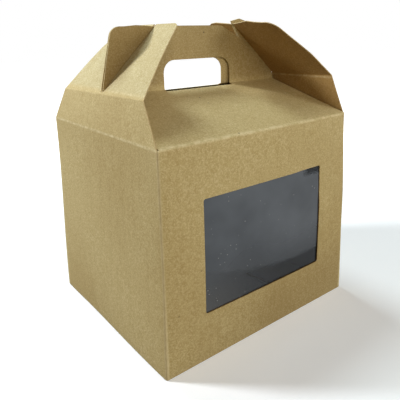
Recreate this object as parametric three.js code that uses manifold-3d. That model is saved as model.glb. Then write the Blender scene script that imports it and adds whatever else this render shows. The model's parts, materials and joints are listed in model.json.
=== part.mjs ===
// A kraft card lunch box with a gable roof, a window and a carry handle, in millimetres, +Z up.
// The origin is the middle of the underside, and the window wall faces -Y.
import * as THREE from "three";
import { mergeVertices } from "three/addons/utils/BufferGeometryUtils.js";
import Module from "manifold-3d";

const wasm = await Module();
wasm.setup();

// Driving dimensions of the box body
const CARD = 0.45;
const WIDTH = 120;
const DEPTH = 106;
const WALL_HEIGHT = 103;
const CORNER_RADIUS = 1.1;

// Window in the front wall and the film glued behind it
const WINDOW = { width: 77, low: 24, high: 78.5, radius: 1 };
const FILM = { thickness: 0.2, border: 7, behind: 0.3 };

// Roof: two shoulders rise to the mid-line and turn up into two handle panels back to back
const SHOULDER_RISE = 16;
const SHOULDER_SIDE_GAP = 1.1;
const HANDLE_BASE_HALF = 56.2;
const HANDLE_GAP = { base: 1.5, top: 0.2 };

// Handle panels, seen from the front: heights are above the underside
const GRIP_TOP = 150.4;
const GRIP_SHOULDER = { x: 16.6, radius: 2 };
const NOTCH_FOOT = { x: 29.6, z: 143.6, radius: 0.6 };
const EAR = { tipX: 24.3, tipZ: 152.1, cornerX: 49.1, cornerZ: 151.3, tipRadius: 0.8, cornerRadius: 4.5 };
const HAND_HOLE = { width: 43.6, high: 133.5, radius: 6.5, aboveFold: 0.25 };

// Lock flaps: a tall side panel leans in to a crease, and two wings lean in from there to the handle
const FLAP = {
  clearance: 0.35,
  creaseX: 56.8,
  creaseZ: 121.8,
  wingTopX: 24.6,
  wingTopZ: 151,
  slitFoot: 3.0,
  slitTop: 2.0,
};
// Both flaps have the same outline on the flat sheet, with a wide half and a narrow half, so the
// narrow half is in front on the left flap and behind on the right one
const WIDE_HALF = { foot: 51.4, crease: 45, top: 31, corner: 8 };
const NARROW_HALF = { foot: 52.6, crease: 39.4, top: 19.7, corner: 5 };

// Bottom: a slotted rear panel, two side panels and a front panel whose tongue locks through the slot
const LAYER = 0.6;
const BOTTOM_INSET = 2.4;
const REAR_PANEL = { edge: -8, notchHalf: 24, notchDepth: 15 };
const SIDE_PANEL = { reach: 31, footHalf: 49, edgeHalf: 32 };
const FRONT_PANEL = { edge: 1, tongueHalf: 20, slopeEnd: 6.5, tongueEnd: 17, tongueRadius: 6 };
const GLUE_SEAM = { width: 14, chamfer: 5, sunk: 0.05 };

const ROUND_SEGMENTS = 12;

const half = (size) => size / 2;
const at = (x, y, z) => new THREE.Vector3(x, y, z);

// A closed mesh with shared corners, as a solid that can be joined and cut
function solidOf(geometry) {
  const bare = geometry.clone();
  bare.deleteAttribute("normal");
  bare.deleteAttribute("uv");
  const merged = mergeVertices(bare, 1e-4);
  return new wasm.Manifold(
    new wasm.Mesh({
      numProp: 3,
      vertProperties: merged.attributes.position.array,
      triVerts: new Uint32Array(merged.index.array),
    }),
  );
}

function meshOf(name, solid, material) {
  const { vertProperties, triVerts } = solid.getMesh();
  const geometry = new THREE.BufferGeometry()
    .setAttribute("position", new THREE.BufferAttribute(vertProperties, 3))
    .setIndex(new THREE.BufferAttribute(triVerts, 1));
  geometry.computeVertexNormals();
  const mesh = new THREE.Mesh(geometry, material);
  mesh.name = name;
  return mesh;
}

const joined = (solids) => solids.reduce((whole, next) => whole.add(next));

// Draws a closed outline through corners [x, y, radius], each turned by an arc of its radius
function outline(corners, path = new THREE.Shape()) {
  corners.forEach(([x, y, radius = 0], i) => {
    const corner = new THREE.Vector2(x, y);
    if (!radius) {
      path[i ? "lineTo" : "moveTo"](x, y);
      return;
    }
    const before = corners.at(i - 1);
    const after = corners[(i + 1) % corners.length];
    const inward = new THREE.Vector2(before[0] - x, before[1] - y).normalize();
    const outward = new THREE.Vector2(after[0] - x, after[1] - y).normalize();
    const opening = Math.acos(THREE.MathUtils.clamp(inward.dot(outward), -1, 1));
    const reach = radius / Math.tan(opening / 2);
    const start = corner.clone().addScaledVector(inward, reach);
    const end = corner.clone().addScaledVector(outward, reach);
    const middle = inward.clone().add(outward).normalize();
    const centre = corner.clone().addScaledVector(middle, radius / Math.sin(opening / 2));
    const from = start.clone().sub(centre).angle();
    const to = end.clone().sub(centre).angle();
    path[i ? "lineTo" : "moveTo"](start.x, start.y);
    path.absarc(centre.x, centre.y, radius, from, to, inward.cross(outward) > 0);
  });
  path.closePath();
  return path;
}

const mirrored = (corners) => corners.map(([x, y, radius]) => [-x, y, radius]).reverse();

const rectangle = (x0, y0, x1, y1, radius, path) =>
  outline([[x0, y0, radius], [x1, y0, radius], [x1, y1, radius], [x0, y1, radius]], path);

// A flat card panel: its outline's x and y run along u and v from a place on the card's middle plane
function panel(shape, place, u, v, thickness = CARD) {
  const geometry = new THREE.ExtrudeGeometry(shape, {
    depth: thickness,
    bevelEnabled: false,
    curveSegments: ROUND_SEGMENTS / 2,
  });
  geometry.translate(0, 0, -thickness / 2);
  const normal = u.clone().cross(v);
  geometry.applyMatrix4(new THREE.Matrix4().makeBasis(u, v, normal).setPosition(place));
  return solidOf(geometry);
}

// The rounded outside of a fold between two panels
function fold(start, end) {
  const run = end.clone().sub(start);
  const rod = new THREE.CylinderGeometry(half(CARD), half(CARD), run.length(), ROUND_SEGMENTS);
  rod.applyQuaternion(
    new THREE.Quaternion().setFromUnitVectors(at(0, 1, 0), run.clone().normalize()),
  );
  rod.translate(...start.clone().lerp(end, 0.5));
  return solidOf(rod);
}

const X = at(1, 0, 0);
const Y = at(0, 1, 0);
const Z = at(0, 0, 1);
const wallX = half(WIDTH) - half(CARD);
const wallY = half(DEPTH) - half(CARD);
const wallTop = WALL_HEIGHT - half(CARD);

// Four walls with rounded corner folds, cut by the window
function walls() {
  const ring = rectangle(-half(WIDTH), -half(DEPTH), half(WIDTH), half(DEPTH), CORNER_RADIUS);
  const inner = CORNER_RADIUS - CARD;
  const [x, y] = [half(WIDTH) - CARD, half(DEPTH) - CARD];
  ring.holes.push(rectangle(-x, -y, x, y, inner, new THREE.Path()));
  const geometry = new THREE.ExtrudeGeometry(ring, {
    depth: wallTop,
    bevelEnabled: false,
    curveSegments: ROUND_SEGMENTS / 2,
  });
  const across = half(WINDOW.width);
  const opening = rectangle(-across, WINDOW.low, across, WINDOW.high, WINDOW.radius);
  return solidOf(geometry).subtract(panel(opening, at(0, -wallY, 0), X, Z, 4 * CARD));
}

// The seam flap that is glued inside the left wall, with chamfered ends
function glueSeam() {
  const { width, chamfer, sunk } = GLUE_SEAM;
  const edge = wallY - CARD;
  const shape = outline([
    [edge, BOTTOM_INSET],
    [edge, wallTop - BOTTOM_INSET],
    [edge - width, wallTop - BOTTOM_INSET - chamfer],
    [edge - width, BOTTOM_INSET + chamfer],
  ]);
  return panel(shape, at(-(wallX - CARD + sunk), 0, 0), Y, Z);
}

// Corners of the right half of a handle panel, from the grip's middle down to the fold
function handleCorners() {
  const foldZ = WALL_HEIGHT + SHOULDER_RISE;
  return [
    [HANDLE_BASE_HALF, foldZ],
    [EAR.cornerX, EAR.cornerZ, EAR.cornerRadius],
    [EAR.tipX, EAR.tipZ, EAR.tipRadius],
    [NOTCH_FOOT.x, NOTCH_FOOT.z, NOTCH_FOOT.radius],
    [GRIP_SHOULDER.x, GRIP_TOP, GRIP_SHOULDER.radius],
  ].map(([x, z, radius]) => [x, z - foldZ, radius]);
}

// One shoulder and its handle panel: side is -1 in front and 1 behind
function roofHalf(side) {
  const foldZ = WALL_HEIGHT + SHOULDER_RISE;
  const eaves = at(0, side * wallY, wallTop);
  const ridge = at(0, side * (half(HANDLE_GAP.base) + half(CARD)), foldZ);
  const top = at(0, side * (half(HANDLE_GAP.top) + half(CARD)), GRIP_TOP);
  const slope = ridge.clone().sub(eaves);
  const rise = slope.length();
  const eavesHalf = half(WIDTH) - SHOULDER_SIDE_GAP;
  const shoulder = outline([
    [-eavesHalf, 0],
    [eavesHalf, 0],
    [HANDLE_BASE_HALF, rise],
    [-HANDLE_BASE_HALF, rise],
  ]);
  const right = handleCorners();
  const handle = outline([...right, ...mirrored(right)]);
  const across = half(HAND_HOLE.width);
  const holeTop = HAND_HOLE.high - foldZ;
  handle.holes.push(
    outline(
      [
        [-across, HAND_HOLE.aboveFold],
        [across, HAND_HOLE.aboveFold],
        [across, holeTop, HAND_HOLE.radius],
        [-across, holeTop, HAND_HOLE.radius],
      ],
      new THREE.Path(),
    ),
  );
  const corner = half(WIDTH) - CORNER_RADIUS;
  return joined([
    fold(at(-corner, eaves.y, eaves.z), at(corner, eaves.y, eaves.z)),
    panel(shoulder, eaves, X, slope.normalize()),
    fold(at(-HANDLE_BASE_HALF, ridge.y, ridge.z), at(HANDLE_BASE_HALF, ridge.y, ridge.z)),
    panel(handle, ridge, X, top.sub(ridge).normalize()),
  ]);
}

// The front bottom panel: flat on the ground, with a tongue that rises through the rear panel's slot
function frontBottom() {
  const { edge, tongueHalf, slopeEnd, tongueEnd, tongueRadius } = FRONT_PANEL;
  const across = half(WIDTH) - BOTTOM_INSET;
  const low = half(CARD);
  const high = low + 3 * LAYER;
  const flat = rectangle(-across, -wallY, across, edge);
  const rampRun = at(0, slopeEnd - edge, high - low);
  const ramp = rectangle(-tongueHalf, 0, tongueHalf, rampRun.length());
  const tongue = outline([
    [-tongueHalf, 0],
    [tongueHalf, 0],
    [tongueHalf, tongueEnd - slopeEnd, tongueRadius],
    [-tongueHalf, tongueEnd - slopeEnd, tongueRadius],
  ]);
  return joined([
    panel(flat, at(0, 0, low), X, Y),
    fold(at(-tongueHalf, edge, low), at(tongueHalf, edge, low)),
    panel(ramp, at(0, edge, low), X, rampRun.normalize()),
    fold(at(-tongueHalf, slopeEnd, high), at(tongueHalf, slopeEnd, high)),
    panel(tongue, at(0, slopeEnd, high), X, Y),
  ]);
}

// The rear bottom panel lies innermost, with an open slot for the tongue
function rearBottom() {
  const { edge, notchHalf, notchDepth } = REAR_PANEL;
  const across = half(WIDTH) - BOTTOM_INSET;
  const shape = outline([
    [-across, wallY],
    [-across, edge],
    [-notchHalf, edge],
    [-notchHalf, edge + notchDepth],
    [notchHalf, edge + notchDepth],
    [notchHalf, edge],
    [across, edge],
    [across, wallY],
  ]);
  return panel(shape, at(0, 0, half(CARD) + 2 * LAYER), X, Y);
}

// The side bottom panels lie between the other two: side is -1 on the left and 1 on the right
function sideBottom(side) {
  const { reach, footHalf, edgeHalf } = SIDE_PANEL;
  const shape = outline([
    [side * wallX, -side * footHalf],
    [side * wallX, side * footHalf],
    [side * (wallX - reach), side * edgeHalf],
    [side * (wallX - reach), -side * edgeHalf],
  ]);
  return panel(shape, at(0, 0, half(CARD) + LAYER), X, Y);
}

// A lock flap's wing on one side of the slit: side is -1 in front and 1 behind
function wingShape(side, cut, length) {
  return outline([
    [side * half(FLAP.slitFoot), 0],
    [side * cut.crease, 0],
    [side * cut.top, length, cut.corner],
    [side * half(FLAP.slitTop), length],
  ]);
}

// A lock flap: side is -1 on the left and 1 on the right
function lockFlap(side) {
  const hinge = at(side * wallX, 0, wallTop);
  const crease = at(side * FLAP.creaseX, 0, FLAP.creaseZ);
  const top = at(side * FLAP.wingTopX, 0, FLAP.wingTopZ);
  const lean = crease.clone().sub(hinge);
  const tall = lean.length();
  lean.normalize();
  const [front, rear] = side < 0 ? [NARROW_HALF, WIDE_HALF] : [WIDE_HALF, NARROW_HALF];
  const foot = outline([
    [-front.foot, FLAP.clearance],
    [rear.foot, FLAP.clearance],
    [rear.crease, tall],
    [-front.crease, tall],
  ]);
  const wingRun = top.sub(crease);
  const length = wingRun.length();
  wingRun.normalize();
  return joined([
    panel(foot, hinge, Y, lean),
    fold(at(crease.x, -front.crease, crease.z), at(crease.x, rear.crease, crease.z)),
    panel(wingShape(-1, front, length), crease, Y, wingRun),
    panel(wingShape(1, rear, length), crease, Y, wingRun),
  ]);
}

// Clear film, glued by its border to the inside of the window wall
function windowFilm() {
  const across = half(WINDOW.width) + FILM.border;
  const shape = rectangle(-across, WINDOW.low - FILM.border, across, WINDOW.high + FILM.border);
  const y = -(half(DEPTH) - CARD - FILM.behind - half(FILM.thickness));
  return panel(shape, at(0, y, 0), X, Z, FILM.thickness);
}

const kraft = new THREE.MeshStandardMaterial({ color: 0xa69467, roughness: 0.85, metalness: 0 });
const clearFilm = new THREE.MeshStandardMaterial({
  color: 0x5b6064,
  roughness: 0.12,
  metalness: 0,
  transparent: true,
  opacity: 0.45,
});

const carton = joined([
  walls(),
  glueSeam(),
  roofHalf(-1),
  roofHalf(1),
  frontBottom(),
  rearBottom(),
  sideBottom(-1),
  sideBottom(1),
]);

const box = new THREE.Group();
box.add(
  meshOf("carton", carton, kraft),
  meshOf("window_film", windowFilm(), clearFilm),
  meshOf("left_lock_flap", lockFlap(-1), kraft),
  meshOf("right_lock_flap", lockFlap(1), kraft),
);

export default box;
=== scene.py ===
"""Dresses a small gable lunch box of brown kraft card: its folded carton, lock flaps and window film."""

import json
import math
from typing import NamedTuple

import bmesh
import bpy
from mathutils import Euler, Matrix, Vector


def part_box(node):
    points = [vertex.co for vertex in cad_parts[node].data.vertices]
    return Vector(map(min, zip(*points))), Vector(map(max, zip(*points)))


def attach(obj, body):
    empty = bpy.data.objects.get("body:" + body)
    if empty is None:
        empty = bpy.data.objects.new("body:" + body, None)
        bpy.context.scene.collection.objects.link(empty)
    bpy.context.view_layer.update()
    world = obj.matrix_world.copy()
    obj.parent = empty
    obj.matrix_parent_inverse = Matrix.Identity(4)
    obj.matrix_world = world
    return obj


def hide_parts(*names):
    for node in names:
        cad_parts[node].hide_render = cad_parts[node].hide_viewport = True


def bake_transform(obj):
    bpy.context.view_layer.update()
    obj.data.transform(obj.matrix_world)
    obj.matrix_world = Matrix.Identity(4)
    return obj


bl_info = {
    "name": "Kraft Lunch Box",
    "version": (1, 0, 0),
    "blender": (4, 5, 0),
    "location": "View3D > Sidebar > Lunch Box",
    "description": "Builds a gable lunch box of kraft card with a window and a carry handle",
    "category": "Object",
}

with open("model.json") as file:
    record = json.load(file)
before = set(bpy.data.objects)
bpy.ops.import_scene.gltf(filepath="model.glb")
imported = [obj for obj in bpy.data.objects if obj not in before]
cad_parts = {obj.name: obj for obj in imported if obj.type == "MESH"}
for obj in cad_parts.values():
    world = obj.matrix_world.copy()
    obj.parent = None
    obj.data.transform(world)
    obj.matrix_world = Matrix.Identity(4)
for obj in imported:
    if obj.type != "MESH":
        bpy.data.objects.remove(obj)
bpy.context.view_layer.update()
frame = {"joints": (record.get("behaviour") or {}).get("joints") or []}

MM = 0.001
NEAR = 0.02 * MM
AXES = {"X": Vector((1, 0, 0)), "Y": Vector((0, 1, 0)), "Z": Vector((0, 0, 1))}
SMOOTH_ANGLE = math.radians(35)
CUT_EDGE_ANGLE = math.radians(60)

CARTON_HIGH = Vector(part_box("carton")[1])
HALF_WIDTH = CARTON_HIGH.x
HALF_DEPTH = CARTON_HIGH.y
WALL_TOP = frame["joints"][0]["pos_m"][2]
BOX_MIDDLE = Vector((0, 0, WALL_TOP * 0.6))

# Where the roof's folds lie on the outside of the card
RIDGE = {"y": 1.2 * MM, "z": 119.17 * MM, "half": 56.2 * MM}
HANDLE_TOP = {"y": 0.56 * MM, "half": 49.1 * MM, "z": 151.3 * MM, "crown": 1.5 * MM}
EAR_CORNER = 4.5 * MM
CREASE = {"x": 57.0 * MM, "z": 121.9 * MM}
WING_TOP = {"x": 24.75 * MM, "z": 151.15 * MM}
SEAM_BELOW_FOLD = 1.2 * MM

# How far the foot of the walls turns in, and how much nearer the film is to its wall than its solid
RIM = 2 * MM
FILM_SHIFT = 0.15 * MM

# The openings: the window, the hand holes, the notches beside the grip, and the lock flaps' slits
WINDOW = {"half": 38.5 * MM, "low": 24 * MM, "high": 78.5 * MM, "corner": 1.0 * MM}
HAND_HOLE = {"half": 21.8 * MM, "low": 118.3 * MM, "high": 133.5 * MM, "corner": 6.5 * MM}
REAR_HOLE_SLIP = -4.5 * MM
NOTCH = {"grip": 150.4 * MM, "shoulder": 16.6 * MM, "foot_x": 29.6 * MM, "foot_z": 143.6 * MM}
NOTCH_SLANT = 0.62
NOTCH_ROUNDING = 2 * MM
SLIT = {"low": 122.7 * MM, "foot": 1.22 * MM, "top": 0.58 * MM}
CUTTER_REACH = 5 * MM

# The locked bottom: its panels lie over one another, and the front one's tongue goes through a slot
BOTTOM = {"layer": 0.6 * MM, "half": HALF_WIDTH - 2.4 * MM, "front_end": 1 * MM, "rear_end": -8 * MM}
TONGUE = {"half": 20 * MM, "slope": 5.5 * MM, "flat": 10.5 * MM, "corner": 6 * MM}
SLOT = {"half": 24 * MM, "end": 7 * MM, "corner": 2 * MM}
SIDE_PANEL = {"reach": 31 * MM, "gap": 0.2 * MM, "half": 49 * MM, "tip_half": 32 * MM}
SEAM_FLAP = {"width": 15 * MM, "low": 2.4 * MM, "below_top": 2.6 * MM, "slant": 5 * MM, "bite": 0.05 * MM}

# Tones that multiply the card's colour: the card's own uneven tone, painted shade on the handle that also
# darkens the front wall's foot, painted shade on the inner faces, and painted cooler light on the wings'
# outer faces
AGED = (0.85, 0.81, 0.74)
HANDLE_SHADE_AND_FOOT_TONE = (0.6, 0.54, 0.46)
INNER_FACE_SHADE = (0.69, 0.54, 0.38)
WING_LIGHT = (1.02, 1.09, 1.25)

# Colours of the film's painted warm reflection at the lower left, of its painted dark patches and of its
# dust, and of the stage
WARM_REFLECTION = (0.08, 0.073, 0.064)
DARK_PATCH_COLOUR = (0.006, 0.007, 0.008)
DUST = (0.5, 0.5, 0.48)
BLACK = (0, 0, 0)
WHITE = (1, 1, 1)
FLOOR_SEEN = (0.85, 0.85, 0.85)
FLOOR_BOUNCE = (0.15, 0.12, 0.07)

# Which output of an attribute node holds a vector, and which a number
VECTOR = 1
NUMBER = 2

# Each lamp's azimuth, elevation, size, power and colour
LAMPS = {
    "left_lamp": (-130, 34, 0.16, 8.4, (0.88, 0.94, 1)),
    "back_lamp": (180, 65, 0.3, 4.8, (0.8, 0.94, 1)),
    "front_lamp": (35, 17, 0.5, 3.8, (0.95, 0.99, 1)),
    "camera_lamp": (-20, 24, 0.5, 3.0, (1, 0.93, 0.8)),
}
LAMP_AIM = Vector((0, 0, 0.08))
LAMP_DISTANCE = 0.9
FLOOR_SIZE = 6
FLOOR_BELOW = 0.05 * MM

CAMERA = {"place": (-0.14904, -0.19756, 0.14553), "azimuth": -37.15, "elevation": 14.07, "roll": -1.43}
CAMERA_LENS = 41.3
CAMERA_DROP = -0.125


class Bend(NamedTuple):
    """Where this one box is bent, how far, and how far around that place the card goes with it, in mm"""

    near: tuple
    shift: tuple
    reach: float


CORNER_LEAN = Bend((60, -53, 103), (-0.6, 1.4, 0.7), 50)
WALL_BENDS = {
    "right front corner": CORNER_LEAN,
    "left rear foot": Bend((-60, 53, 0), (-1.5, 1.4, 0), 90),
    "left wall's foot": Bend((-60, -27, 0), (-1.1, 0, 0), 58),
    "right front foot": Bend((60, -53, 0), (1, 0, 0), 45),
}
HANDLE_BENDS = {
    "right ear's inner end": Bend((27.5, 0.6, 152), (0, 0, 1), 9),
    "left ear's inner end": Bend((-25, 0.6, 152), (0, 0, -1.1), 12),
    "left ear's top": Bend((-42, 0.6, 151), (0, 0, -0.6), 18),
}

# Each lock flap has a wide half and a narrow half, and the narrow one is in front on the left.
# The ends of its crease, front (-1) and rear (1), are shifted too, in mm
WIDE_HALF = {"foot": 51.9 * MM, "crease": 45 * MM, "top": 31 * MM, "corner": 5.6 * MM}
NARROW_HALF = {"foot": 52.4 * MM, "crease": 39.4 * MM, "top": 19.7 * MM, "corner": 3.4 * MM}
LEFT_FLAP = {
    "side": -1,
    "front": NARROW_HALF,
    "rear": WIDE_HALF,
    "crease_shifts": {-1: (0, 0, -1.2), 1: (0.8, -1.2, -2.5)},
    "bends": {"rear wing's top": Bend((-24.8, 31, 151.2), (0, -2.5, 0), 18)},
}
RIGHT_FLAP = {
    "side": 1,
    "front": WIDE_HALF,
    "rear": NARROW_HALF,
    "crease_shifts": {-1: (0, 0, 0.8), 1: (0, 0, 0)},
    "bends": {
        "right front corner": CORNER_LEAN,
        "front wing's edge": Bend((42, -39, 135), (0, -0.9, 0), 14),
        "rear wing's top": Bend((24.8, 13, 151.2), (-0.8, 0.8, 1.1), 12),
        "front wing's top": Bend((24.8, -14, 151.2), (0, 0, 1.2), 10),
    },
}


class CardSizes(bpy.types.PropertyGroup):
    """Sizes of the card and its folds"""

    thickness: bpy.props.FloatProperty(
        name="Card thickness",
        description="Thickness of the card",
        default=0.45 * MM,
        subtype="DISTANCE",
        precision=5,
    )
    corner: bpy.props.FloatProperty(
        name="Corner fold",
        description="Outer radius of the four upright folds",
        default=1.1 * MM,
        subtype="DISTANCE",
        precision=5,
    )
    fold: bpy.props.FloatProperty(
        name="Roof fold",
        description="Setback of the rounded folds at the eaves",
        default=0.9 * MM,
        subtype="DISTANCE",
        precision=5,
    )
    crease: bpy.props.FloatProperty(
        name="Crease",
        description="Setback of the sharper creases",
        default=0.5 * MM,
        subtype="DISTANCE",
        precision=5,
    )
    bow: bpy.props.FloatProperty(
        name="Bow",
        description="How far a wall bows out between its folds",
        default=0.8 * MM,
        subtype="DISTANCE",
        precision=5,
    )
    step: bpy.props.FloatProperty(
        name="Mesh step",
        description="Distance between cut lines in a panel",
        default=6 * MM,
        subtype="DISTANCE",
        precision=5,
    )


class CardColours(bpy.types.PropertyGroup):
    """Colours of the card and the film"""

    kraft: bpy.props.FloatVectorProperty(
        name="Kraft",
        description="Main colour of the card",
        default=(0.53, 0.41, 0.185),
        subtype="COLOR",
    )
    dark: bpy.props.FloatVectorProperty(
        name="Dark fibre",
        description="Colour of the darker fibres",
        default=(0.42, 0.305, 0.115),
        subtype="COLOR",
    )
    # Also the colour of the painted highlight along the upright folds
    pale: bpy.props.FloatVectorProperty(
        name="Pale fibre",
        description="Colour of worn folds and cut edges",
        default=(0.70, 0.58, 0.33),
        subtype="COLOR",
    )
    fleck: bpy.props.FloatVectorProperty(
        name="Fleck",
        description="Colour of the dark specks in the card",
        default=(0.10, 0.07, 0.035),
        subtype="COLOR",
    )
    # This colour paints the shaded inside of the box: the film is drawn nearly opaque in it
    film: bpy.props.FloatVectorProperty(
        name="Film",
        description="Tint of the clear window film",
        default=(0.05, 0.055, 0.064),
        subtype="COLOR",
    )


class Socket:
    """A shader value that adds Math nodes as it is used in an expression"""

    def __init__(self, shader, link):
        self.shader = shader
        self.link = link

    def _math(self, operation, *values):
        return self.shader.node("ShaderNodeMath", {"operation": operation}, *values)

    def __add__(self, other):
        return self._math("ADD", self, other)

    def __radd__(self, other):
        return self._math("ADD", other, self)

    def __sub__(self, other):
        return self._math("SUBTRACT", self, other)

    def __rsub__(self, other):
        return self._math("SUBTRACT", other, self)

    def __mul__(self, other):
        return self._math("MULTIPLY", self, other)

    def __rmul__(self, other):
        return self._math("MULTIPLY", other, self)

    def __abs__(self):
        return self._math("ABSOLUTE", self)

    def least(self, other):
        return self._math("MINIMUM", self, other)

    def most(self, other):
        return self._math("MAXIMUM", self, other)

    def step(self, low, high):
        """0 below low, 1 above high and smooth between them; a low above high turns it round"""
        return self.shader.node(
            "ShaderNodeMapRange",
            {"interpolation_type": "SMOOTHSTEP"},
            Value=self,
            **{"From Min": low, "From Max": high},
        )


class Shader:
    """The node tree of one material or world"""

    def __init__(self, owner):
        self.owner = owner
        self.owner.use_nodes = True
        self.tree = self.owner.node_tree
        self.tree.nodes.clear()

    def node(self, kind, settings=None, *values, output=0, **named):
        """Adds a node, with its settings first, then its values or links by order or by name"""
        made = self.tree.nodes.new(kind)
        for setting, value in (settings or {}).items():
            setattr(made, setting, value)
        sockets = [socket for socket in made.inputs if socket.enabled]
        for socket, value in zip(sockets, values):
            self.feed(socket, value)
        for name, value in named.items():
            self.feed(next(socket for socket in sockets if socket.name == name), value)
        return Socket(self, made.outputs[output])

    def feed(self, socket, value):
        """Links a socket to a shader value, or sets it to a number, a vector or a colour"""
        if isinstance(value, Socket):
            self.tree.links.new(value.link, socket)
        elif socket.type == "RGBA" and len(value) == 3:
            socket.default_value = (*value, 1)
        else:
            socket.default_value = value

    def mix(self, share, first, second, blend="MIX"):
        """Mixes two colours"""
        return self.node(
            "ShaderNodeMix",
            {"data_type": "RGBA", "blend_type": blend},
            Factor=share,
            A=first,
            B=second,
            output=2,
        )

    def tint(self, share, colour, tone):
        """Multiplies a colour by a tone"""
        return self.mix(share, colour, tone, "MULTIPLY")

    def stored(self, attribute, output):
        """An attribute of the mesh"""
        return self.node("ShaderNodeAttribute", {"attribute_name": attribute}, output=output)

    def place(self):
        """Where a point of the object lies, in metres"""
        return self.node("ShaderNodeTexCoord", output=3)

    def ray(self, kind):
        """1 for the rays of one kind, and 0 for the others"""
        path = self.node("ShaderNodeLightPath").link.node
        return Socket(self, path.outputs[kind])

    def parts(self, place):
        """The x, y and z of a place"""
        split = self.node("ShaderNodeSeparateXYZ", {}, place).link.node
        return [Socket(self, output) for output in split.outputs]

    def stretched(self, place, scale):
        return self.node("ShaderNodeMapping", Vector=place, Scale=scale)

    def noise(self, place, scale, detail=2.0, roughness=0.5):
        return self.node(
            "ShaderNodeTexNoise",
            Vector=place,
            Scale=scale,
            Detail=detail,
            Roughness=roughness,
        )

    def cells(self, place, scale):
        """How far a point is from the middle of its cell"""
        return self.node("ShaderNodeTexVoronoi", Vector=place, Scale=scale)

    def bump(self, height, strength, distance, under=None):
        named = {"Strength": strength, "Distance": distance, "Height": height}
        if under:
            named["Normal"] = under
        return self.node("ShaderNodeBump", **named)

    def finish(self, surface, output="ShaderNodeOutputMaterial"):
        """Shows the surface, and gives back the material or world"""
        end = self.tree.nodes.new(output)
        self.tree.links.new(surface.link, end.inputs["Surface"])
        return self.owner


def fibre_colour(shader, place, fibre, grain, colours):
    """The card's brown, mottled by its fibres, its grain and slow clouds"""
    cloud = shader.noise(place, 28, 3, 0.6)
    coarse = shader.noise(place, 380, 4, 0.75)
    flute = shader.noise(shader.stretched(place, (340, 340, 30)), 1, 3, 0.6)
    share = fibre.step(0.3, 0.7) * 0.3 + cloud.step(0.3, 0.7) * 0.3 + coarse.step(0.35, 0.65) * 0.4
    share = share + (flute - 0.5) * 0.9
    colour = shader.mix(share, tuple(colours.dark), tuple(colours.kraft))
    colour = shader.mix(grain.step(0.42, 0.68) * 0.7, colour, tuple(colours.pale))
    return shader.tint(shader.noise(place, 14, 4, 0.65).step(0.35, 0.65), colour, AGED)


def toned(shader, place, inside, colour):
    """Paints shade on the handle and the inner faces, darkens the front wall towards its foot and right, and
    paints cooler light on the wings' outer faces
    """
    x, y, z = shader.parts(place)
    on_handle = z.step(RIDGE["z"], RIDGE["z"] + 5 * MM) * abs(y).step(1.7 * MM, 1.3 * MM)
    # Painted shade on the handle's outer faces, strongest at the left ear
    handle_shade = on_handle * (1 - inside) * (x.step(-14 * MM, -36 * MM) * 0.35 + 0.5)
    on_front = y.step(-HALF_DEPTH + 4 * MM, -HALF_DEPTH + MM)
    # Darker towards the foot of the front wall and towards its right
    darker_front_foot = z.step(44 * MM, 8 * MM) * x.step(-50 * MM, 15 * MM) * on_front
    colour = shader.tint(handle_shade.most(darker_front_foot * 0.5), colour, HANDLE_SHADE_AND_FOOT_TONE)
    off_handle = abs(y).step(0.3 * MM, 1.6 * MM)
    # Painted shade on the inner faces away from the handle: darker and browner
    colour = shader.tint(inside * off_handle, colour, INNER_FACE_SHADE)
    # Painted light: the wings' outer faces paler and cooler
    above_crease = z.step(CREASE["z"] - MM, CREASE["z"] + MM)
    wing = above_crease * abs(y).step(1.3 * MM, 1.7 * MM) * (1 - inside)
    return shader.tint(wing, colour, WING_LIGHT)


def wear_and_highlight_share(shader, place):
    """How pale the card is: most at the upright folds, from wear and a painted highlight, and less at the
    eaves and the wings' creases, from wear
    """
    x, y, z = shader.parts(place)
    at_eaves = abs(z - WALL_TOP).step(0.9 * MM, 0.2 * MM)
    on_side = abs(x).step(HALF_WIDTH - 1.3 * MM, HALF_WIDTH - 0.4 * MM)
    on_front = abs(y).step(HALF_DEPTH - 1.3 * MM, HALF_DEPTH - 0.4 * MM)
    on_flap = abs(x).step(CREASE["x"] - 3 * MM, CREASE["x"] - 1 * MM)
    at_crease = abs(z - CREASE["z"]).step(0.8 * MM, 0.1 * MM) * on_flap
    rubbed = shader.noise(place, 300, 4, 0.75).step(0.4, 0.62)
    across_folds = at_eaves.most(at_crease * 0.5) * (rubbed * 0.7 + 0.15)
    # The upright folds: pale from scuffing and from a painted highlight
    return across_folds + on_side * on_front * (rubbed * 0.3 + 0.6)


def kraft_card(colours):
    """Uncoated kraft card: fine fibres along the sheet, dark specks, pale scuffed folds, and a painted
    highlight along the upright folds
    """
    shader = Shader(bpy.data.materials.new("kraft_finish"))
    place = shader.stored("card_place", VECTOR)
    side = shader.stored("card_side", NUMBER)
    fibre = shader.noise(shader.stretched(place, (900, 900, 420)), 1, 4, 0.7)
    grain = shader.noise(place, 1400, 3, 0.75)
    colour = fibre_colour(shader, place, fibre, grain, colours)
    colour = toned(shader, place, side.least(1), colour)
    cut_edge = (side - 1) * 0.4
    colour = shader.mix(wear_and_highlight_share(shader, place).most(cut_edge), colour, tuple(colours.pale))
    speck = shader.cells(place, 170).step(0.10, 0.05) * shader.noise(place, 60, 1).step(0.6, 0.66)
    colour = shader.mix(speck * 0.9, colour, tuple(colours.fleck))
    rise = shader.bump(grain * 0.5 + fibre, 0.35, 0.06 * MM)
    waves = shader.bump(shader.noise(place, 45), 0.3, 0.5 * MM, rise)
    return shader.finish(
        shader.node(
            "ShaderNodeBsdfPrincipled",
            **{
                "Base Color": colour,
                "Roughness": 0.82 - fibre * 0.12,
                "Normal": waves,
                "Specular IOR Level": 0.3,
            },
        )
    )


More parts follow.
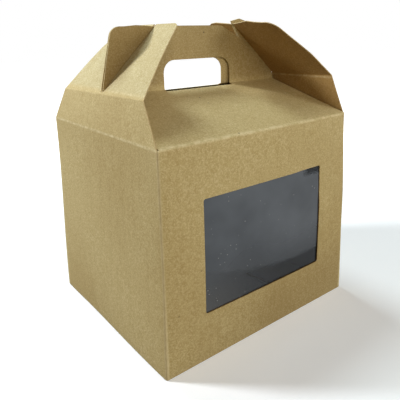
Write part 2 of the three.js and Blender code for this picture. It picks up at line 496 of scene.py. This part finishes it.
def film_dark_patches(x, z, haze_and_reflection):
    """Where the window is painted darker and the film made clearer: a band that sags, painting a darker part
    of the reflection, one streak and the upper right corner
    """
    bend = x - 25 * MM
    level = z - bend * bend * 2.83 + haze_and_reflection * 2 * MM
    band = level.step(35.6 * MM, 32.4 * MM) * 0.45 + level.step(52 * MM, 30 * MM) * 0.35
    band = band * x.step(-55 * MM, 20 * MM)
    streak = abs(z + x * 0.68 - 25.9 * MM).step(1.7 * MM, 0.2 * MM) * z.step(38 * MM, 34 * MM)
    corner = x.step(24 * MM, 31 * MM) * z.step(74 * MM, 76.6 * MM)
    return band.most(streak * 0.75).most(corner * 0.8)


def clear_film(colours):
    """Thin clear film with a soft reflection and dust on it, drawn nearly opaque in a dark colour that
    paints the shaded inside, with painted paler and darker parts
    """
    shader = Shader(bpy.data.materials.new("film_finish"))
    place = shader.place()
    x, _, z = shader.parts(place)
    film = tuple(colours.film)
    # Painted reflection: a paler film colour, mixed in below in mottled patches towards the top
    pale_reflection = tuple(1.9 * part for part in film)
    haze_and_reflection = shader.noise(place, 24, 3, 0.6)
    colour = shader.mix(haze_and_reflection.step(0.3, 0.7) * z.step(20 * MM, 60 * MM), film, pale_reflection)
    # Painted reflection: warmer and paler at the lower left
    low_left = z.step(48 * MM, 24 * MM) * x.step(10 * MM, -38 * MM)
    colour = shader.mix(low_left * 0.8, colour, WARM_REFLECTION)
    dark_patch = film_dark_patches(x, z, haze_and_reflection)
    colour = shader.mix(dark_patch, colour, DARK_PATCH_COLOUR)
    dust = shader.cells(place, 420).step(0.13, 0.06) * shader.noise(place, 130).step(0.5, 0.57)
    colour = shader.mix(dust * 0.6, colour, DUST)
    waves = shader.bump(shader.noise(place, 14), 0.2, 1.5 * MM)
    return shader.finish(
        shader.node(
            "ShaderNodeBsdfPrincipled",
            **{
                "Base Color": colour,
                "Roughness": 0.08 + haze_and_reflection * 0.06,
                # Nearly opaque, so the film's colour paints the shaded inside; clearer where the dark
                # patches are painted
                "Alpha": 0.93 - dark_patch * 0.72,
                "Normal": waves,
                "IOR": 1.5,
                "Specular Tint": (0.82, 0.92, 1.0),
            },
        )
    )


def studio_white():
    """The floor: white with a shadow to the camera, white in reflections, warm grey to other light"""
    shader = Shader(bpy.data.materials.new("studio_white"))
    camera = shader.ray("Is Camera Ray")
    mirror = shader.ray("Is Glossy Ray").most(shader.ray("Is Transmission Ray"))
    x, y, _ = shader.parts(shader.place())
    far = (x * x + y * y).step(0.02, 0.16)
    glow = shader.mix(camera * (far * 0.8 + 0.2), BLACK, WHITE)
    matt = shader.node("ShaderNodeBsdfDiffuse", Color=shader.mix(camera, FLOOR_BOUNCE, FLOOR_SEEN))
    floor = shader.node("ShaderNodeAddShader", {}, matt, shader.node("ShaderNodeEmission", Color=glow))
    white = shader.node("ShaderNodeEmission", Color=WHITE)
    return shader.finish(shader.node("ShaderNodeMixShader", {}, mirror, floor, white))


def open_piece(name):
    """Names the new primitive, applies its place, and opens it for editing"""
    piece = bpy.context.object
    piece.name = name
    piece.data.name = name
    bpy.ops.object.transform_apply(location=True, rotation=True, scale=True)
    bpy.ops.object.mode_set(mode="EDIT")


def close_piece():
    """Ends editing and gives back the piece"""
    bpy.ops.object.mode_set(mode="OBJECT")
    return bpy.context.object


def new_block(name, low, high):
    """A block between two corners, open for editing"""
    low, high = Vector(low), Vector(high)
    bpy.ops.object.select_all(action="DESELECT")
    bpy.ops.mesh.primitive_cube_add(size=1, location=(low + high) / 2, scale=high - low)
    open_piece(name)


def pick(kind, wanted):
    """Selects just the points, edges or faces whose corners all pass the test"""
    bpy.ops.mesh.select_mode(type=kind)
    bpy.ops.mesh.select_all(action="DESELECT")
    form = bmesh.from_edit_mesh(bpy.context.edit_object.data)
    for part in {"VERT": form.verts, "EDGE": form.edges, "FACE": form.faces}[kind]:
        corners = [part.co] if kind == "VERT" else [corner.co for corner in part.verts]
        if all(wanted(corner) for corner in corners):
            part.select_set(True)
    form.select_flush_mode()
    bmesh.update_edit_mesh(bpy.context.edit_object.data)


def pick_along(axis, wanted):
    """Selects the edges that run along an axis and pass the test"""
    bpy.ops.mesh.select_mode(type="EDGE")
    bpy.ops.mesh.select_all(action="DESELECT")
    form = bmesh.from_edit_mesh(bpy.context.edit_object.data)
    for edge in form.edges:
        run = (edge.verts[1].co - edge.verts[0].co).normalized()
        if abs(run.dot(AXES[axis])) > 0.99 and all(wanted(corner.co) for corner in edge.verts):
            edge.select_set(True)
    form.select_flush_mode()
    bmesh.update_edit_mesh(bpy.context.edit_object.data)


def pull(shift):
    """Extrudes what is selected"""
    bpy.ops.mesh.extrude_region_move(TRANSFORM_OT_translate={"value": shift})


def shrink(across=1.0, along=1.0):
    """Scales what is selected towards the middle planes of the box"""
    bpy.ops.transform.resize(value=(across, along, 1), center_override=(0, 0, 0))


def nudge(bend, side=1):
    """Moves the points about a place, and the others less with their distance from it"""
    near = Vector((bend.near[0], side * bend.near[1], bend.near[2])) * MM
    form = bmesh.from_edit_mesh(bpy.context.edit_object.data)
    nearest = min((corner.co - near).length for corner in form.verts)
    pick("VERT", lambda c: (c - near).length < nearest + NEAR)
    bpy.ops.transform.translate(
        value=Vector(bend.shift) * MM,
        use_proportional_edit=True,
        proportional_edit_falloff="SMOOTH",
        proportional_size=bend.reach * MM,
    )


def cut_lines(axis, low, high, step):
    """Divides all faces by evenly spaced planes across an axis"""
    count = max(1, round((high - low) / step))
    for turn in range(1, count):
        place = low + (high - low) * turn / count
        bpy.ops.mesh.select_mode(type="FACE")
        bpy.ops.mesh.select_all(action="SELECT")
        bpy.ops.mesh.bisect(plane_co=AXES[axis] * place, plane_no=AXES[axis])


def finish_with(kind, **settings):
    """Adds a modifier to the piece at hand and applies it"""
    modifier = bpy.context.object.modifiers.new(kind.title(), kind)
    for setting, value in settings.items():
        setattr(modifier, setting, value)
    bpy.ops.object.modifier_apply(modifier=modifier.name)


def thicken(thickness):
    """Gives the sheet at hand its thickness, from its outer face inwards"""
    finish_with("SOLIDIFY", thickness=thickness, offset=-1, use_even_offset=True)


def take_up(piece):
    """Makes a piece the one at hand"""
    bpy.ops.object.select_all(action="DESELECT")
    piece.select_set(True)
    bpy.context.view_layer.objects.active = piece


def cut_away(piece, cutter):
    """Cuts one solid out of a piece, and removes the cutter"""
    take_up(piece)
    finish_with("BOOLEAN", operation="DIFFERENCE", solver="EXACT", object=cutter)
    bpy.data.objects.remove(cutter)


def bow_out(piece, share, height):
    """Bows the card along its normals by a share of height at each point"""
    group = piece.vertex_groups.new(name="bow")
    for point in piece.data.vertices:
        group.add([point.index], share(point.co), "REPLACE")
    take_up(piece)
    finish_with("DISPLACE", strength=height, mid_level=0, vertex_group="bow")
    piece.vertex_groups.clear()


def join_to(piece, others):
    take_up(piece)
    for other in others:
        other.select_set(True)
    bpy.ops.object.join()


def card_sides(piece):
    """0 for each face on the outside of the card, 1 for one on its inside, and 2 for a cut edge"""
    edge_width = 1.3 * bpy.context.scene.card_sizes.thickness
    form = bmesh.new()
    form.from_mesh(piece.data)
    sides = []
    for face in form.faces:
        longest = max(edge.calc_length() for edge in face.edges)
        narrow = face.calc_area() < edge_width * longest
        sharp = sum(edge.calc_face_angle(0) > CUT_EDGE_ANGLE for edge in face.edges)
        inside = face.normal.dot(face.calc_center_median() - BOX_MIDDLE) < 0
        sides.append(2.0 if narrow and sharp > 1 else float(inside))
    form.free()
    return sides


def dress(piece):
    """Smooths the folds, keeps each point's place at rest for the card's pattern, and sets the finish"""
    material = bpy.data.materials.get("kraft_finish") or kraft_card(bpy.context.scene.card_colours)
    take_up(piece)
    bpy.ops.object.shade_smooth_by_angle(angle=SMOOTH_ANGLE)
    place = piece.data.attributes.new("card_place", "FLOAT_VECTOR", "POINT")
    place.data.foreach_set("vector", [value for point in piece.data.vertices for value in point.co])
    side = piece.data.attributes.new("card_side", "FLOAT", "FACE")
    side.data.foreach_set("value", card_sides(piece))
    piece.data.materials.clear()
    piece.data.materials.append(material)


def wall_bow(place):
    """1 in the middle of each wall, and 0 at its folds and on the roof"""
    if place.z > WALL_TOP - NEAR:
        return 0
    shares = [0]
    if abs(place.y) > HALF_DEPTH - NEAR:
        shares.append(math.cos(math.pi / 2 * min(1, abs(place.x) / HALF_WIDTH)))
    if abs(place.x) > HALF_WIDTH - NEAR:
        shares.append(math.cos(math.pi / 2 * min(1, abs(place.y) / HALF_DEPTH)))
    return max(shares) * math.sin(math.pi * min(1, max(0, place.z / WALL_TOP)))


def folded_walls(sizes):
    """Four walls with rounded upright folds, and the roof's two halves turned in and up from them"""
    new_block("carton_card", (-HALF_WIDTH, -HALF_DEPTH, 0), (HALF_WIDTH, HALF_DEPTH, WALL_TOP))
    for level in (0, WALL_TOP):
        pick("FACE", lambda c: abs(c.z - level) < NEAR)
        bpy.ops.mesh.delete(type="FACE")
    pick_along("Z", lambda c: True)
    bpy.ops.mesh.bevel(offset=sizes.corner, segments=5, affect="EDGES")
    turn_in_foot(sizes)
    for side in (-1, 1):
        roof_half(side, sizes)
    round_roof_folds(sizes)
    lower_side_walls()
    cut_lines("X", -HALF_WIDTH, HALF_WIDTH, sizes.step)
    cut_lines("Y", -HALF_DEPTH, HALF_DEPTH, sizes.step)
    cut_lines("Z", 0, WALL_TOP, sizes.step)
    for bend in WALL_BENDS.values():
        nudge(bend)
    for side in (-1, 1):
        for bend in HANDLE_BENDS.values():
            nudge(bend, side)
    return close_piece()


def turn_in_foot(sizes):
    """Turns the foot of the walls in over the bottom, with a rounded crease"""
    pick("EDGE", lambda c: c.z < NEAR)
    pull((0, 0, 0))
    shrink(across=1 - RIM / HALF_WIDTH, along=1 - RIM / HALF_DEPTH)
    wide = HALF_WIDTH - RIM * 0.8
    deep = HALF_DEPTH - RIM * 0.8
    pick("EDGE", lambda c: c.z < NEAR and (abs(c.x) > wide or abs(c.y) > deep))
    bpy.ops.mesh.bevel(offset=sizes.crease, segments=4, affect="EDGES")


def roof_half(side, sizes):
    """Pulls a shoulder from a wall's top edge to the ridge, and a handle panel up from there"""

    def at_top(corner):
        return corner.z > HANDLE_TOP["z"] - NEAR and corner.y * side > 0

    pick_along("X", lambda c: c.z > WALL_TOP - NEAR and abs(c.y - side * HALF_DEPTH) < NEAR)
    pull((0, -side * (HALF_DEPTH - RIDGE["y"]), RIDGE["z"] - WALL_TOP))
    shrink(across=RIDGE["half"] / (HALF_WIDTH - sizes.corner))
    pull((0, -side * (RIDGE["y"] - HANDLE_TOP["y"]), HANDLE_TOP["z"] - RIDGE["z"]))
    shrink(across=HANDLE_TOP["half"] / RIDGE["half"])
    bpy.ops.mesh.subdivide(number_cuts=1)
    pick("VERT", lambda c: at_top(c) and abs(c.x) < NEAR)
    bpy.ops.transform.translate(value=(0, 0, HANDLE_TOP["crown"]))
    pick("VERT", lambda c: at_top(c) and abs(c.x) > HANDLE_TOP["half"] - NEAR)
    bpy.ops.mesh.bevel(offset=EAR_CORNER, segments=6, affect="VERTICES")


def round_roof_folds(sizes):
    """Rounds the eaves and the ridge"""
    pick_along("X", lambda c: abs(c.z - WALL_TOP) < NEAR)
    bpy.ops.mesh.bevel(offset=sizes.fold, segments=4, affect="EDGES")
    pick_along("X", lambda c: abs(c.z - RIDGE["z"]) < NEAR)
    bpy.ops.mesh.bevel(offset=sizes.crease, segments=3, affect="EDGES")


def lower_side_walls():
    """Leaves room at the top of each side wall for the strip that the lock flap grows from"""

    def on_side(corner):
        return abs(corner.x) > HALF_WIDTH - 0.3 * MM

    seam = WALL_TOP - SEAM_BELOW_FOLD
    pick("FACE", on_side)
    bpy.ops.mesh.bisect(plane_co=(0, 0, seam), plane_no=AXES["Z"])
    pick("FACE", lambda c: on_side(c) and c.z > seam - NEAR)
    bpy.ops.mesh.delete(type="FACE")


def rounded_cutter(name, low, high, axis, rounded, radius):
    """A block with some of its edges along an axis rounded, to cut an opening with"""
    new_block(name, low, high)
    pick_along(axis, rounded)
    bpy.ops.mesh.bevel(offset=radius, segments=8, affect="EDGES")
    return close_piece()


def cut_openings(carton):
    """Cuts the window, the hand holes and the grip between the ears"""
    window = rounded_cutter(
        "window_cutter",
        (-WINDOW["half"], -HALF_DEPTH - 3 * MM, WINDOW["low"]),
        (WINDOW["half"], -HALF_DEPTH + 3 * MM, WINDOW["high"]),
        "Y",
        lambda c: True,
        WINDOW["corner"],
    )
    cut_away(carton, window)
    for start, end, slip in ((-CUTTER_REACH, 0, 0), (0, CUTTER_REACH, REAR_HOLE_SLIP)):
        hole = rounded_cutter(
            "hand_hole_cutter",
            (slip - HAND_HOLE["half"], start, HAND_HOLE["low"]),
            (slip + HAND_HOLE["half"], end, HAND_HOLE["high"]),
            "Y",
            lambda c: c.z > HAND_HOLE["high"] - NEAR,
            HAND_HOLE["corner"],
        )
        cut_away(carton, hole)
    cut_away(carton, grip_cutter())


def grip_cutter():
    """A block over the grip whose lower corners reach down and out into the notches"""
    grip = NOTCH["grip"]
    foot = NOTCH["foot_x"]
    above = 10 * MM
    lean = (grip - NOTCH["foot_z"] + above) * NOTCH_SLANT
    new_block("grip_cutter", (-foot, -CUTTER_REACH, grip), (foot, CUTTER_REACH, grip + above))
    for side in (-1, 1):
        bpy.ops.mesh.select_all(action="SELECT")
        bpy.ops.mesh.bisect(plane_co=(side * NOTCH["shoulder"], 0, 0), plane_no=AXES["X"])
    for side in (-1, 1):
        pick("VERT", lambda c: c.x * side > foot - NEAR and c.z < grip + NEAR)
        bpy.ops.transform.translate(value=(0, 0, NOTCH["foot_z"] - grip))
        pick("VERT", lambda c: c.x * side > foot - NEAR and c.z > grip + NEAR)
        bpy.ops.transform.translate(value=(-side * lean, 0, 0))
    pick_along("Y", lambda c: abs(c.z - grip) < NEAR)
    bpy.ops.mesh.bevel(offset=NOTCH_ROUNDING, segments=4, affect="EDGES")
    return close_piece()


def front_bottom(card):
    """The front panel of the bottom, whose tongue slopes up through the slot and lies on the rear panel"""
    tongue = TONGUE["half"]
    new_block(
        "front_bottom",
        (-BOTTOM["half"], RIM - HALF_DEPTH, 0),
        (BOTTOM["half"], BOTTOM["front_end"], card),
    )
    cut_lines("X", -3 * tongue, 3 * tongue, 2 * tongue)
    pick("FACE", lambda c: c.y > 0 and abs(c.x) < tongue + NEAR)
    pull((0, TONGUE["slope"], 3 * BOTTOM["layer"]))
    pull((0, TONGUE["flat"], 0))
    pick_along("Z", lambda c: c.y > TONGUE["flat"])
    bpy.ops.mesh.bevel(offset=TONGUE["corner"], segments=6, affect="EDGES")
    return close_piece()


def rear_bottom(card):
    """The slotted rear panel of the bottom"""
    level = 2 * BOTTOM["layer"]
    new_block(
        "rear_bottom",
        (-BOTTOM["half"], BOTTOM["rear_end"], level),
        (BOTTOM["half"], HALF_DEPTH - card, level + card),
    )
    rear = close_piece()
    slot = rounded_cutter(
        "slot_cutter",
        (-SLOT["half"], BOTTOM["rear_end"] - 4 * MM, 0),
        (SLOT["half"], SLOT["end"], 3 * MM),
        "Z",
        lambda c: c.y > 0,
        SLOT["corner"],
    )
    cut_away(rear, slot)
    return rear


def side_bottom(side, card):
    """One side panel of the bottom, narrower at its free end"""
    inner_end = HALF_WIDTH - SIDE_PANEL["reach"]
    start, end = sorted((side * inner_end, side * (HALF_WIDTH - SIDE_PANEL["gap"])))
    new_block(
        "side_bottom",
        (start, -SIDE_PANEL["half"], BOTTOM["layer"]),
        (end, SIDE_PANEL["half"], BOTTOM["layer"] + card),
    )
    pick("VERT", lambda c: abs(c.x) < inner_end + NEAR)
    shrink(along=SIDE_PANEL["tip_half"] / SIDE_PANEL["half"])
    return close_piece()


def seam_flap(card):
    """The glued seam inside the left wall, near its back corner"""

    def on_free_edge(corner):
        return corner.y < HALF_DEPTH - SEAM_FLAP["width"] + NEAR

    inner_face = card - HALF_WIDTH
    high = WALL_TOP - SEAM_FLAP["below_top"]
    new_block(
        "seam_flap",
        (inner_face - SEAM_FLAP["bite"], HALF_DEPTH - SEAM_FLAP["width"], SEAM_FLAP["low"]),
        (inner_face + card, HALF_DEPTH - card, high),
    )
    pick("VERT", lambda c: on_free_edge(c) and c.z > high - NEAR)
    bpy.ops.transform.translate(value=(0, 0, -SEAM_FLAP["slant"]))
    pick("VERT", lambda c: on_free_edge(c) and c.z < SEAM_FLAP["low"] + NEAR)
    bpy.ops.transform.translate(value=(0, 0, SEAM_FLAP["slant"]))
    return close_piece()


def wing_share(place):
    """How the lock flap's wings bow: nothing at the crease and most at their outer edges"""
    if place.z < CREASE["z"] + NEAR:
        return 0
    up = (place.z - CREASE["z"]) / (WING_TOP["z"] - CREASE["z"])
    return math.sin(math.pi * up) * (0.3 + 0.7 * abs(place.y) / WIDE_HALF["crease"])


def flap_ends(level, front, rear):
    """Moves the two ends of a lock flap's edge at one height to their distances from the middle"""
    for side, reach in ((-1, front), (1, rear)):
        pick("VERT", lambda c: abs(c.z - level) < NEAR and c.y * side > 0)
        now = next(c.co.y for c in bmesh.from_edit_mesh(bpy.context.edit_object.data).verts if c.select)
        bpy.ops.transform.translate(value=(0, side * reach - now, 0))


def flap_outline(name, flap):
    """A strip of the side wall, the tall panel that leans in from it, and the wings above the crease"""
    side, front, rear = flap["side"], flap["front"], flap["rear"]
    bpy.ops.object.select_all(action="DESELECT")
    bpy.ops.mesh.primitive_plane_add(
        size=1,
        location=(side * HALF_WIDTH, 0, WALL_TOP - SEAM_BELOW_FOLD / 2),
        rotation=(0, side * math.pi / 2, 0),
    )
    bpy.context.object.scale = (SEAM_BELOW_FOLD, HALF_DEPTH, 1)
    open_piece(name)
    flap_ends(WALL_TOP - SEAM_BELOW_FOLD, front["foot"], rear["foot"])
    flap_ends(WALL_TOP, front["foot"], rear["foot"])
    pick("EDGE", lambda c: c.z > WALL_TOP - NEAR)
    pull((side * (CREASE["x"] - HALF_WIDTH), 0, CREASE["z"] - WALL_TOP))
    flap_ends(CREASE["z"], front["crease"], rear["crease"])
    pick("EDGE", lambda c: c.z > CREASE["z"] - NEAR)
    pull((side * (WING_TOP["x"] - CREASE["x"]), 0, WING_TOP["z"] - CREASE["z"]))
    flap_ends(WING_TOP["z"], front["top"], rear["top"])
    for end, half in ((-1, front), (1, rear)):
        pick("VERT", lambda c: c.z > WING_TOP["z"] - NEAR and c.y * end > 0)
        bpy.ops.mesh.bevel(offset=half["corner"], segments=7, affect="VERTICES")


def fold_flap(flap, sizes):
    """Rounds the fold at the eaves and the crease under the wings"""
    pick_along("Y", lambda c: abs(c.z - WALL_TOP) < NEAR)
    bpy.ops.mesh.bevel(offset=sizes.fold, segments=4, affect="EDGES")
    for end, shift in flap["crease_shifts"].items():
        pick("VERT", lambda c: abs(c.z - CREASE["z"]) < NEAR and c.y * end > 0)
        bpy.ops.transform.translate(value=Vector(shift) * MM)
    pick_along("Y", lambda c: abs(c.z - CREASE["z"]) < 2.8 * MM)
    bpy.ops.mesh.bevel(offset=sizes.crease, segments=3, affect="EDGES")


def slit_cutter(side):
    """A wedge for the slit of a lock flap, which leaves it through its upper edge"""
    start, end = sorted((side * 10 * MM, side * HALF_WIDTH))
    new_block(
        "slit_cutter",
        (start, -SLIT["foot"], SLIT["low"]),
        (end, SLIT["foot"], WING_TOP["z"] + CUTTER_REACH),
    )
    pick("VERT", lambda c: c.z > WING_TOP["z"])
    shrink(along=SLIT["top"] / SLIT["foot"])
    return close_piece()


def lock_flap(name, flap, sizes):
    """One lock flap: a strip of the wall, a tall panel that leans in, and two wings either side of a slit"""
    flap_outline(name, flap)
    fold_flap(flap, sizes)
    cut_lines("Y", -HALF_DEPTH, HALF_DEPTH, sizes.step)
    cut_lines("Z", CREASE["z"] + MM, WING_TOP["z"], sizes.step)
    for bend in flap["bends"].values():
        nudge(bend)
    card = close_piece()
    bow_out(card, wing_share, sizes.bow)
    thicken(sizes.thickness)
    cut_away(card, slit_cutter(flap["side"]))
    return card


def film_bow(place):
    """The window wall's bow, for the film behind it"""
    return wall_bow(Vector((place.x, -HALF_DEPTH, place.z)))


def film_sheet(sizes):
    """A thin sheet close behind the window wall, which bows and leans with it"""
    low, high = (Vector(corner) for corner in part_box("window_film"))
    middle = (low + high) / 2
    upper_right = (high.x / MM, low.y / MM, high.z / MM)
    bpy.ops.object.select_all(action="DESELECT")
    bpy.ops.mesh.primitive_plane_add(
        size=1,
        location=(middle.x, low.y - FILM_SHIFT, middle.z),
        rotation=(math.pi / 2, 0, 0),
    )
    bpy.context.object.scale = (high.x - low.x, high.z - low.z, 1)
    open_piece("film_sheet")
    cut_lines("X", low.x, high.x, sizes.step)
    cut_lines("Z", low.z, high.z, sizes.step)
    nudge(Bend(upper_right, (0, 0.6, 0), 36))
    film = close_piece()
    bow_out(film, film_bow, sizes.bow)
    thicken(high.y - low.y)
    bpy.ops.object.shade_smooth_by_angle(angle=SMOOTH_ANGLE)
    return film


class LUNCHBOX_OT_carton(bpy.types.Operator):
    """Fold the carton: walls, roof, handle and locked bottom"""

    bl_idname = "lunchbox.carton"
    bl_label = "Fold Carton"

    def execute(self, context):
        sizes = context.scene.card_sizes
        card = sizes.thickness
        carton = folded_walls(sizes)
        bow_out(carton, wall_bow, sizes.bow)
        thicken(card)
        cut_openings(carton)
        panels = [front_bottom(card), rear_bottom(card), side_bottom(-1, card), side_bottom(1, card)]
        join_to(carton, [*panels, seam_flap(card)])
        dress(carton)
        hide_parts("carton")
        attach(carton, "box")
        return {"FINISHED"}


class LUNCHBOX_OT_lock_flaps(bpy.types.Operator):
    """Fold the two lock flaps from the tops of the side walls"""

    bl_idname = "lunchbox.lock_flaps"
    bl_label = "Fold Lock Flaps"

    def execute(self, context):
        for name, flap in (("left", LEFT_FLAP), ("right", RIGHT_FLAP)):
            card = lock_flap(name + "_flap_card", flap, context.scene.card_sizes)
            dress(card)
            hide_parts(name + "_lock_flap")
            start = (flap["side"] * HALF_WIDTH, 0, WALL_TOP - SEAM_BELOW_FOLD)
            end = (flap["side"] * HALF_WIDTH, 0, WALL_TOP + SEAM_BELOW_FOLD)
            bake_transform(card)
        return {"FINISHED"}


class LUNCHBOX_OT_window_film(bpy.types.Operator):
    """Glue the clear film behind the window"""

    bl_idname = "lunchbox.window_film"
    bl_label = "Glue Window Film"

    def execute(self, context):
        film = film_sheet(context.scene.card_sizes)
        film.data.materials.append(clear_film(context.scene.card_colours))
        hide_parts("window_film")
        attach(film, "box")
        return {"FINISHED"}


class LUNCHBOX_OT_stage(bpy.types.Operator):
    """Set the floor, the lamps, the world and the camera"""

    bl_idname = "lunchbox.stage"
    bl_label = "Set Stage"

    def execute(self, context):
        set_floor()
        set_lamps()
        set_world(context.scene)
        set_camera(context.scene)
        context.scene.view_settings.view_transform = "Standard"
        return {"FINISHED"}


def set_floor():
    """A wide floor just under the box"""
    bpy.ops.object.select_all(action="DESELECT")
    bpy.ops.mesh.primitive_plane_add(size=FLOOR_SIZE, location=(0, 0, -FLOOR_BELOW))
    floor = bpy.context.object
    floor.name = "floor"
    floor.data.materials.append(studio_white())


def set_lamps():
    """Soft lamps: the main ones behind and on the left, and weaker ones in front"""
    for name, (azimuth, elevation, size, power, colour) in LAMPS.items():
        turn = Euler((math.radians(90 - elevation), 0, math.radians(azimuth)))
        place = LAMP_AIM + turn.to_matrix() @ Vector((0, 0, LAMP_DISTANCE))
        bpy.ops.object.light_add(type="AREA", location=place, rotation=turn)
        lamp = bpy.context.object
        lamp.name = name
        lamp.data.shape = "DISK"
        lamp.data.size = size
        lamp.data.energy = power
        lamp.data.color = colour


def set_world(scene):
    """A world that is white to the camera and in reflections, and lights nothing else"""
    shader = Shader(bpy.data.worlds.new("studio"))
    seen = shader.ray("Is Camera Ray").most(shader.ray("Is Glossy Ray"))
    white = shader.node("ShaderNodeBackground", Color=WHITE, Strength=seen)
    scene.world = shader.finish(white, "ShaderNodeOutputWorld")


def set_camera(scene):
    """The photo's view: a camera that looks down a little at the left and front walls"""
    bpy.ops.object.camera_add(location=CAMERA["place"])
    camera = bpy.context.object
    turn = Euler((math.radians(90 - CAMERA["elevation"]), 0, math.radians(CAMERA["azimuth"])))
    roll = Euler((0, 0, math.radians(CAMERA["roll"])))
    camera.rotation_euler = (turn.to_matrix() @ roll.to_matrix()).to_euler()
    camera.data.lens = CAMERA_LENS
    camera.data.sensor_width = 36
    camera.data.shift_y = CAMERA_DROP
    camera.data.clip_start = 0.01
    scene.camera = camera


class LUNCHBOX_PT_panel(bpy.types.Panel):
    """Lists the lunch box's settings and steps"""

    bl_label = "Lunch Box"
    bl_idname = "LUNCHBOX_PT_panel"
    bl_space_type = "VIEW_3D"
    bl_region_type = "UI"
    bl_category = "Lunch Box"

    def draw(self, context):
        for group in (context.scene.card_sizes, context.scene.card_colours):
            for setting in group.__annotations__:
                self.layout.prop(group, setting)
        for step in STEPS:
            self.layout.operator(step.bl_idname)


STEPS = (LUNCHBOX_OT_carton, LUNCHBOX_OT_lock_flaps, LUNCHBOX_OT_window_film, LUNCHBOX_OT_stage)
CLASSES = (CardSizes, CardColours, *STEPS, LUNCHBOX_PT_panel)


def register():
    for cls in CLASSES:
        bpy.utils.register_class(cls)
    bpy.types.Scene.card_sizes = bpy.props.PointerProperty(type=CardSizes)
    bpy.types.Scene.card_colours = bpy.props.PointerProperty(type=CardColours)


def unregister():
    del bpy.types.Scene.card_colours
    del bpy.types.Scene.card_sizes
    for cls in reversed(CLASSES):
        bpy.utils.unregister_class(cls)


def main():
    register()
    bpy.ops.lunchbox.carton()
    bpy.ops.lunchbox.lock_flaps()
    bpy.ops.lunchbox.window_film()
    bpy.ops.lunchbox.stage()


if __name__ == "__main__":
    main()
